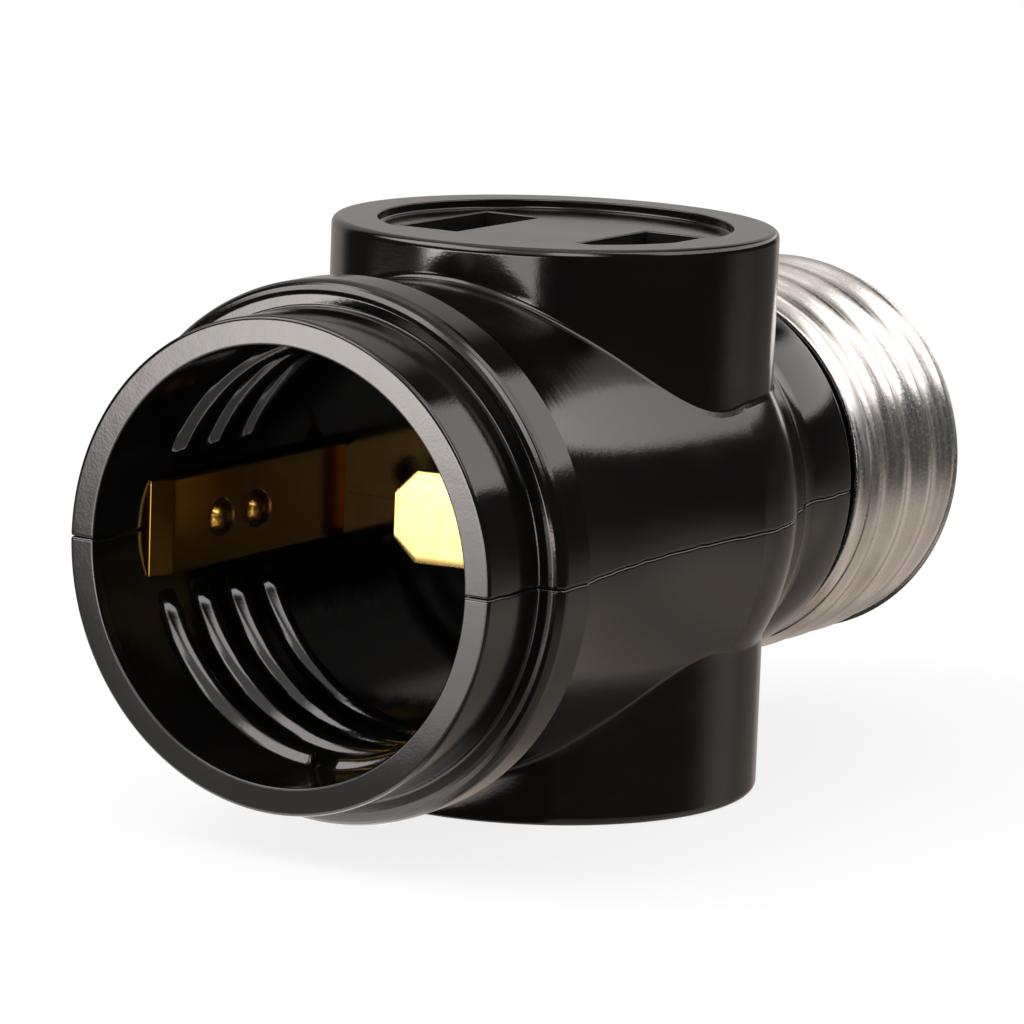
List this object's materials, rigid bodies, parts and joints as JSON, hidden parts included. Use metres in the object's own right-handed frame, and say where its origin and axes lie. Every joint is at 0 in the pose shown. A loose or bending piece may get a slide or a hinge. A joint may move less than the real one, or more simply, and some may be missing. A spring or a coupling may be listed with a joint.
{
  "type": "lamp socket adapter",
  "caption": "Screw-in lamp socket adapter in glossy black plastic with an aluminium screw base, a lamp socket, and a flat outlet above and below.",
  "frame": {"origin": "centre of the lamp socket's mouth, on the axis that the socket and the screw base share", "axes": "+Y from the mouth along the axis to the screw base, +Z along the upper outlet's axis, +X to the right seen from the mouth, on the line side of the outlets"},
  "size_m": [0.0338, 0.0726, 0.0364],
  "materials": {
    "housing": "gloss",
    "shell": "bright",
    "button": "satin",
    "strip": "bright",
    "leaf": "satin",
    "rivet": "satin"
  },
  "bodies": {
    "root": {"upper_housing": "housing", "lower_housing": "housing", "screw_shell": "shell", "base_contact": "button", "neutral_strip": "strip", "line_strip": "strip", "neutral_outer_leaf": "leaf", "neutral_inner_leaf": "leaf", "line_inner_leaf": "leaf", "line_outer_leaf": "leaf", "contact_rivets": "rivet"}
  },
  "joints": []
}
